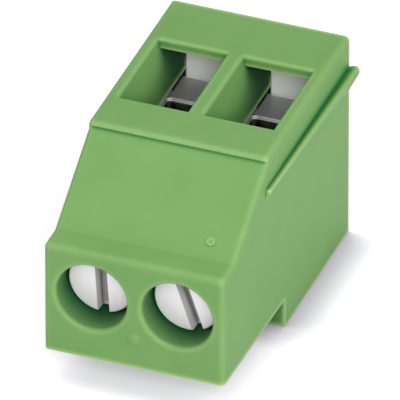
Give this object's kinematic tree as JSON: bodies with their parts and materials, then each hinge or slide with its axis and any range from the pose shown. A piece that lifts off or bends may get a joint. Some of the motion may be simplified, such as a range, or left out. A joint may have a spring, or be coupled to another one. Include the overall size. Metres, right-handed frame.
{
  "type": "pcb screw terminal",
  "caption": "Board-mounted wire terminal: a stepped moulded housing whose slotted screws draw clamp sleeves against contact bars, gripping wires that enter from above.",
  "frame": {"origin": "midway between the two solder pins, on the board's surface", "axes": "+Z rises off the board towards the wire entries, -Y points at the screw heads, +X runs from the left pole to the right pole as seen from the screws"},
  "size_m": [0.0113, 0.0201, 0.0166],
  "materials": {
    "housing_plastic": "fine satin moulding",
    "screw_steel": "bright zinc plating",
    "sleeve_steel": "dull nickel plating",
    "contact_metal": "tin plating"
  },
  "bodies": {
    "base": {"housing": "housing_plastic", "solder_contact_left": "contact_metal", "solder_contact_right": "contact_metal"},
    "screw_left": {"clamp_screw_left": "screw_steel"},
    "screw_right": {"clamp_screw_right": "screw_steel"},
    "sleeve_left": {"clamp_sleeve_left": "sleeve_steel"},
    "sleeve_right": {"clamp_sleeve_right": "sleeve_steel"}
  },
  "joints": [
    {"name": "screw_left_turn", "type": "hinge", "parent": "base", "child": "screw_left", "pos_m": [-0.00254, -0.013, 0.0062], "axis": [0, 1, 0], "range_deg": [0, 2628]},
    {"name": "sleeve_left_slide", "type": "slide", "parent": "base", "child": "sleeve_left", "axis": [0, -1, 0], "range_m": [0, 0.00365]},
    {"name": "screw_right_turn", "type": "hinge", "parent": "base", "child": "screw_right", "pos_m": [0.00254, -0.013, 0.0062], "axis": [0, 1, 0], "range_deg": [0, 2628]},
    {"name": "sleeve_right_slide", "type": "slide", "parent": "base", "child": "sleeve_right", "axis": [0, -1, 0], "range_m": [0, 0.00365]}
  ],
  "couplings": [
    {"joint": "screw_left_turn", "follows": "sleeve_left_slide", "rad_per_m": 12566},
    {"joint": "screw_right_turn", "follows": "sleeve_right_slide", "rad_per_m": 12566}
  ]
}
